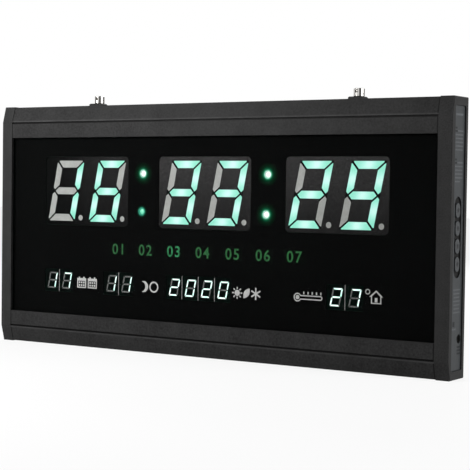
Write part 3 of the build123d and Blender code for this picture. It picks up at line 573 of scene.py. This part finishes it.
# Which finish each node of the CAD has
node_finishes = {
    "frame_paint": ("top_rail", "bottom_rail"),
    "cap_plastic": ("left_end_cap", "right_end_cap", "hanger_pads"),
    "panel_tint": ("front_panel",),
    "card_black": ("display_card",),
    "cover_black": ("back_cover",),
    "plate_grey": ("control_plate",),
    "module_face": ("hour_module", "minute_module", "second_module"),
    "segment_lit": ("hour_segments_lit", "minute_segments_lit", "second_segments_lit"),
    "segment_dark": ("hour_segments_dark", "minute_segments_dark", "second_segments_dark"),
    "small_shell": ("date_modules", "month_modules", "year_modules", "temperature_modules"),
    "small_lit": ("calendar_segments_lit",),
    "small_dark": ("calendar_segments_dark",),
    "colon_lamp": ("colon_lamps", "weekday_lamps"),
    "film_green": ("weekday_films",),
    "divider_grey": ("digit_dividers",),
    "light_box_white": ("weekday_light_box",),
    "board_green": ("main_board", "control_board"),
    "package_black": (
        "microcontroller", "clock_chip", "driver_chips", "coin_cell_holder", "buzzer", "voltage_regulator",
        "temperature_sensor", "switch_bodies", "dc_jack", "set_plunger", "up_plunger", "down_plunger",
        "alarm_plunger"),
    "button_grey": ("set_button", "up_button", "down_button", "alarm_button"),
    "nickel": ("hanger_posts",),
    "steel": (
        "end_cap_screws", "back_cover_screws", "hanger_screws", "board_screws", "control_board_screws",
        "coin_cell"),
    "brass": ("board_standoffs", "dc_jack_pin"),
    "can_aluminium": ("capacitors",),
    "ribbon_grey": ("ribbon_cable",),
}
for finish_name, members in node_finishes.items():
    for member in members:
        mesh = nodes[member].data
        mesh.materials.clear()
        mesh.materials.append(finishes[finish_name])

# Printed marks: thin raised shapes, drawn flat in millimetres and then set on what carries them
MERGE_DISTANCE = 0.002


def meshed(drawn):
    """The mesh of a curve or text, which is then removed."""
    bpy.context.scene.collection.objects.link(drawn)
    bpy.context.view_layer.update()
    mesh = bpy.data.meshes.new_from_object(drawn.evaluated_get(bpy.context.evaluated_depsgraph_get()))
    bpy.data.objects.remove(drawn)
    return mesh


def filled(outlines):
    """A thin closed mesh between flat outlines; an outline inside another is a hole in it."""
    curve = bpy.data.curves.new("mark", "CURVE")
    curve.dimensions = "2D"
    curve.fill_mode = "BOTH"
    curve.extrude = PRINT_THICKNESS / 2
    for points in outlines:
        spline = curve.splines.new("POLY")
        spline.points.add(len(points) - 1)
        for point, (u, v) in zip(spline.points, points):
            point.co = (u, v, 0.0, 1.0)
        spline.use_cyclic_u = True
    return meshed(bpy.data.objects.new("mark", curve))


def piece(name, meshes, placing, finish_name):
    """One object of several flat meshes, placed by a matrix, riding on the clock."""
    joined = bmesh.new()
    for mesh in meshes:
        joined.from_mesh(mesh)
        bpy.data.meshes.remove(mesh)
    bmesh.ops.remove_doubles(joined, verts=joined.verts, dist=MERGE_DISTANCE)
    joined.transform(placing)
    bmesh.ops.recalc_face_normals(joined, faces=joined.faces)
    mesh = bpy.data.meshes.new(name)
    joined.to_mesh(mesh)
    joined.free()
    mesh.materials.append(finishes[finish_name])
    made = bpy.data.objects.new(name, mesh)
    bpy.context.scene.collection.objects.link(made)
    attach(made, BODY)
    return made


def on_front(x, y, z):
    """Drawn across and up, seen from the front, with its middle at x, y, z in millimetres."""
    turn = Matrix(((1, 0, 0, 0), (0, 0, -1, 0), (0, 1, 0, 0), (0, 0, 0, 1)))
    return Matrix.Scale(MM, 4) @ Matrix.Translation((x, y, z)) @ turn


def on_right_side(x, y, z):
    """Drawn across and up, seen from the right side, with its middle at x, y, z in millimetres."""
    turn = Matrix(((0, 0, 1, 0), (1, 0, 0, 0), (0, 1, 0, 0), (0, 0, 0, 1)))
    return Matrix.Scale(MM, 4) @ Matrix.Translation((x, y, z)) @ turn


# Weekday row: the days are plain numerals, and the third is the one that is lit
DAYS = 7
LIT_DAY = 3
NUMERAL_HEIGHT = 9.6
NUMERAL_SPACING = 1.22
NUMERAL_BOLDNESS = 0.012


def numerals(words):
    """Numerals in the plain built-in face, centred on the origin."""
    curve = bpy.data.curves.new("words", "FONT")
    curve.body = words
    curve.align_x = "CENTER"
    curve.align_y = "CENTER"
    curve.extrude = PRINT_THICKNESS / 2
    curve.space_character = NUMERAL_SPACING
    curve.offset = NUMERAL_BOLDNESS
    mesh = meshed(bpy.data.objects.new("words", curve))
    tall = [vertex.co.y for vertex in mesh.vertices]
    wide = [vertex.co.x for vertex in mesh.vertices]
    scale = NUMERAL_HEIGHT / (max(tall) - min(tall))
    middle = Vector(((max(wide) + min(wide)) / 2, (max(tall) + min(tall)) / 2, 0.0))
    for vertex in mesh.vertices:
        shifted = vertex.co - middle
        vertex.co = (shifted.x * scale, shifted.y * scale, shifted.z)
    return mesh


for day in range(1, DAYS + 1):
    place = on_front(WEEKDAY_FIRST_X + WEEKDAY_PITCH * (day - 1), PRINT_Y, WEEKDAY_Z)
    finish_name = "weekday_bright" if day == LIT_DAY else "weekday_dim"
    piece(f"weekday_numeral_{day}", [numerals(f"0{day}")], place, finish_name)


# Calendar row: signs in place of words.
# A shape is an outline and any holes in it, and their points lie u across and v up.
def arc(u, v, radius, angles):
    return [(u + radius * math.cos(angle), v + radius * math.sin(angle)) for angle in angles]


def steps(start, end, count):
    """Evenly spaced numbers from start to end, with both of them."""
    return [start + (end - start) * n / count for n in range(count + 1)]


def disc(u, v, radius, count=32):
    return arc(u, v, radius, steps(0.0, math.tau, count)[:-1])


def slab(left, right, low, high):
    return [(left, low), (right, low), (right, high), (left, high)]


def block(u, v, half_width, half_height):
    return slab(u - half_width, u + half_width, v - half_height, v + half_height)


def page(u):
    """A calendar page: a frame with a band and two rings along its top, and two rows of days in it."""
    half_width, low, high = 5.2, -4.9, 4.0
    side, foot, band_low = 1.1, 1.0, 1.6
    ring_shift, ring_half_width, ring_high = 2.6, 0.7, 5.3
    day_pitch, day_half_width, day_rows = 2.5, 0.8, (0.1, -2.4)
    inner = half_width - side
    sheet = slab(u - half_width, u + half_width, low, high)
    opening = slab(u - inner, u + inner, low + foot, band_low)
    shapes = [[sheet, opening]]
    for middle in (u - ring_shift, u + ring_shift):
        shapes.append([slab(middle - ring_half_width, middle + ring_half_width, high, ring_high)])
    for v in day_rows:
        for step in (-1, 0, 1):
            shapes.append([block(u + step * day_pitch, v, day_half_width, day_half_width)])
    return shapes


def crescent(u, radius, bite, shift):
    """A moon lit on its right, bitten by a circle on its left."""
    reach = math.acos((radius ** 2 + shift ** 2 - bite ** 2) / (2 * radius * shift))
    end = math.asin(radius * math.sin(reach) / bite)
    outer = arc(u, 0.0, radius, steps(reach - math.pi, math.pi - reach, 32))
    inner = arc(u - shift, 0.0, bite, steps(end, -end, 20)[1:-1])
    return outer + inner


def beam(u, v, angle, near, far, width):
    """The corners of a straight bar that points away from u, v."""
    along = Vector((math.cos(angle), math.sin(angle)))
    aside = Vector((-along.y, along.x)) * width / 2
    corners = (along * near - aside, along * far - aside, along * far + aside, along * near + aside)
    return [(u + corner.x, v + corner.y) for corner in corners]


def sun(u):
    """A disc in a ring of rays."""
    radius, near, far, width, count = 2.6, 3.3, 5.1, 1.1, 8
    rays = [[beam(u, 0.0, math.tau * n / count, near, far, width)] for n in range(count)]
    return [[disc(u, 0.0, radius)], *rays]


def leaf(u):
    """A pointed oval, leaning to the right."""
    length, width, lean = 10.6, 5.4, math.radians(55)
    points = []
    for n in range(32):
        share = n / 16
        side = 1 if share < 1 else -1
        along = (share if share < 1 else 2 - share) - 0.5
        p = along * length
        q = side * width / 2 * math.cos(math.pi * along)
        points.append((u + p * math.cos(lean) - q * math.sin(lean), p * math.sin(lean) + q * math.cos(lean)))
    return points


def crystal(u):
    """A six-armed star with straight arms."""
    radius, width, arms = 5.1, 1.3, 6
    points = []
    for arm in range(arms):
        angle = math.tau * arm / arms + math.pi / 2
        points += beam(u, 0.0, angle, 0.0, radius, width)[1:3]
        points += arc(u, 0.0, width, [angle + math.pi / arms])
    return points


def thermometer():
    """A thermometer on its side: an outlined tube and bulb with a filled core, and a scale above."""
    bulb_x, end_x, core = -9.6, 12.0, 1.8
    line_xs, line_width, line_low, line_high = (-4.2, -0.2, 3.8, 7.8, 11.8), 1.1, 2.6, 4.8

    def outline(bulb, tube):
        neck = math.asin(tube / bulb)
        end = steps(-math.pi / 2, math.pi / 2, 12)
        return arc(bulb_x, 0.0, bulb, steps(neck, math.tau - neck, 30)) + arc(end_x, 0.0, tube, end)

    lines = [[slab(u, u + line_width, line_low, line_high)] for u in line_xs]
    return [[outline(3.6, 1.9), outline(2.7, 1.0)], [disc(bulb_x, 0.0, core)], *lines]


def house():
    """The outline of a house under a roof, with a door in it."""
    outer = [(-6.2, 0.2), (0.0, 5.6), (6.2, 0.2), (4.6, 0.2), (4.6, -5.2), (-4.6, -5.2), (-4.6, 0.2)]
    inner = [(-3.7, 0.8), (0.0, 4.2), (3.7, 0.8), (3.7, -4.4), (-3.7, -4.4)]
    return [[outer, inner], [slab(-1.2, 1.2, -4.0, -0.4)]]


def ring(u, radius, inner):
    return [[disc(u, 0.0, radius), disc(u, 0.0, inner)]]


def marks(name, shapes, x, z):
    meshes = [filled(shape) for shape in shapes]
    return piece(name, meshes, on_front(x, PRINT_Y, z), "label_white")


marks("date_sign", [*page(-6.2), *page(6.2)], x=-129.6, z=-51.2)
marks("month_sign", [[crescent(-5.2, 4.9, bite=4.5, shift=2.6)], *ring(6.0, 4.9, 3.6)], x=-60.1, z=-51.4)
marks("year_sign", [*sun(-9.2), [leaf(0.2)], [crystal(9.4)]], x=42.6, z=-51.8)
marks("temperature_sign", thermometer(), x=102.2, z=-52.2)
marks("degree_sign", ring(0.0, 2.2, 1.5), x=157.4, z=-44.4)
marks("indoor_sign", house(), x=165.0, z=-48.6)

# Control plate: plain bars where the real one is printed.
# A bar is given by its height on the plate, its length, its width and its shift across.
LINE_WIDTH = 1.1
LINE_PITCH = 2.92
LOW_LINE_PITCH = 2.93
MARK_WIDTH = 1.5
INLET_BAR_PITCH = 2.5


def plate_bars(name, bars, finish_name):
    meshes = [filled([block(shift, z, length / 2, width / 2)]) for z, length, width, shift in bars]
    place = on_right_side(PLATE_X + PRINT_THICKNESS / 2, PLATE_Y, 0.0)
    return piece(name, meshes, place, finish_name)


def print_lines(first_z, count, pitch, length, shorter, cycle, shift):
    """Lines of print, each shorter than the one above it, over and over in a cycle."""
    return [(first_z - pitch * n, length - shorter * (n % cycle), LINE_WIDTH, shift) for n in range(count)]


plate_bars("plate_heading", [(96.0, 13.0, 1.6, 0.0)], "plate_print_pale")
plate_bars("plate_lines", [
    (83.2, 10.4, LINE_WIDTH, 2.2),
    (58.7, 10.4, LINE_WIDTH, 2.2),
    (44.1, 9.4, LINE_WIDTH, -2.1),
    (-70.5, 7.0, 1.3, -3.9),
    *print_lines(80.3, 5, LINE_PITCH, 14.4, 0.8, 2, 0.2),
    *print_lines(55.8, 4, LINE_PITCH, 14.4, 0.8, 2, 0.2),
    *print_lines(-39.9, 7, LOW_LINE_PITCH, 12.8, 1.0, 3, 0.3),
], "plate_print_grey")
plate_bars("plate_bars", [
    (85.6, 3.2, MARK_WIDTH, -5.4),
    (83.0, 3.8, MARK_WIDTH, -5.1),
    (61.1, 3.2, MARK_WIDTH, -5.4),
    (58.5, 3.8, MARK_WIDTH, -5.1),
    (-66.6, 3.6, 4.0, -4.4),
    *((-84.8 - INLET_BAR_PITCH * n, 6.2, 1.4, 5.7) for n in range(3)),
], "plate_print_dark")

# Stage: a pale floor and a white surround, seen white and lighting softly
SURROUND_LIGHT = 0.2
FLOOR_WHITE_SHARE = 0.85
FLOOR_REACH = 6.0
WHITE = opaque(1.0, 1.0, 1.0)

scene = bpy.context.scene
scene.view_settings.view_transform = "Standard"


def seen_white(tree):
    """1 for the rays that look, are mirrored or pass through glass, and 0 for those that only light."""
    path = tree.nodes.new("ShaderNodeLightPath")
    total = path.outputs["Is Camera Ray"]
    for name in ("Is Glossy Ray", "Is Transmission Ray"):
        both = tree.nodes.new("ShaderNodeMath")
        both.operation = "MAXIMUM"
        tree.links.new(total, both.inputs[0])
        tree.links.new(path.outputs[name], both.inputs[1])
        total = both.outputs[0]
    return total


def mix(tree, factor, first, second, output):
    """Ends a node tree in a mix of two shaders."""
    choice = tree.nodes.new("ShaderNodeMixShader")
    tree.links.new(factor, choice.inputs[0])
    tree.links.new(first.outputs[0], choice.inputs[1])
    tree.links.new(second.outputs[0], choice.inputs[2])
    tree.links.new(choice.outputs[0], tree.nodes[output].inputs["Surface"])


world = bpy.data.worlds.new("studio")
scene.world = world
world.use_nodes = True
tree = world.node_tree
lighting = tree.nodes["Background"]
lighting.inputs["Color"].default_value = WHITE
lighting.inputs["Strength"].default_value = SURROUND_LIGHT
shown = tree.nodes.new("ShaderNodeBackground")
shown.inputs["Color"].default_value = WHITE
shown.inputs["Strength"].default_value = 1.0
mix(tree, seen_white(tree), lighting, shown, "World Output")

floor_material = bpy.data.materials.new("floor_pale")
floor_material.use_nodes = True
tree = floor_material.node_tree
matt = tree.nodes["Principled BSDF"]
matt.inputs["Base Color"].default_value = opaque(0.8, 0.8, 0.8)
matt.inputs["Roughness"].default_value = 0.9
white = tree.nodes.new("ShaderNodeEmission")
white.inputs["Strength"].default_value = 1.0
share = tree.nodes.new("ShaderNodeMath")
share.operation = "MULTIPLY"
share.inputs[1].default_value = FLOOR_WHITE_SHARE
tree.links.new(seen_white(tree), share.inputs[0])
mix(tree, share.outputs[0], matt, white, "Material Output")

floor_mesh = bpy.data.meshes.new("floor")
floor_corners = slab(-FLOOR_REACH, FLOOR_REACH, -FLOOR_REACH, FLOOR_REACH)
floor_mesh.from_pydata([(x, y, cad_low.z) for x, y in floor_corners], [], [(0, 1, 2, 3)])
floor_mesh.materials.append(floor_material)
floor = bpy.data.objects.new("floor", floor_mesh)
scene.collection.objects.link(floor)


def softbox(name, place, target, size, power):
    """A round soft lamp that points at a target and isn't itself seen."""
    light = bpy.data.lights.new(name, "AREA")
    light.shape = "DISK"
    light.size = size
    light.energy = power
    lamp = bpy.data.objects.new(name, light)
    scene.collection.objects.link(lamp)
    lamp.location = place
    lamp.visible_camera = False
    lamp.rotation_mode = "QUATERNION"
    lamp.rotation_quaternion = (Vector(target) - Vector(place)).to_track_quat("-Z", "Y")
    return lamp


softbox("key_left", place=(-0.33, -0.55, 0.27), target=(-0.04, 0.0, 0.04), size=0.25, power=5.0)
softbox("fill_right", place=(1.3, 0.1, 0.4), target=(0.2, 0.0, 0.0), size=0.6, power=12.0)
softbox("back_left", place=(-0.5, 1.2, 0.8), target=(0.0, 0.0, 0.0), size=0.8, power=16.0)

# Camera, at the place worked out from the photograph's edges
SENSOR_WIDTH = 36.0
FRAME_PIXELS = 470.0
FOCAL_PIXELS = 1387.7
CAMERA_PLACE = (0.670226, -1.009722, 0.036629)
CAMERA_RIGHT = Vector((0.838087, 0.545367, 0.013607))
CAMERA_DOWN = Vector((0.029765, -0.020806, -0.99934))
CAMERA_FORWARD = Vector((-0.544725, 0.837939, -0.03367))

camera_data = bpy.data.cameras.new("camera")
camera_data.sensor_width = SENSOR_WIDTH
camera_data.lens = SENSOR_WIDTH * FOCAL_PIXELS / FRAME_PIXELS
camera = bpy.data.objects.new("camera", camera_data)
scene.collection.objects.link(camera)
turn = Matrix((CAMERA_RIGHT, -CAMERA_DOWN, -CAMERA_FORWARD)).transposed().to_4x4()
camera.matrix_world = Matrix.Translation(CAMERA_PLACE) @ turn
scene.camera = camera
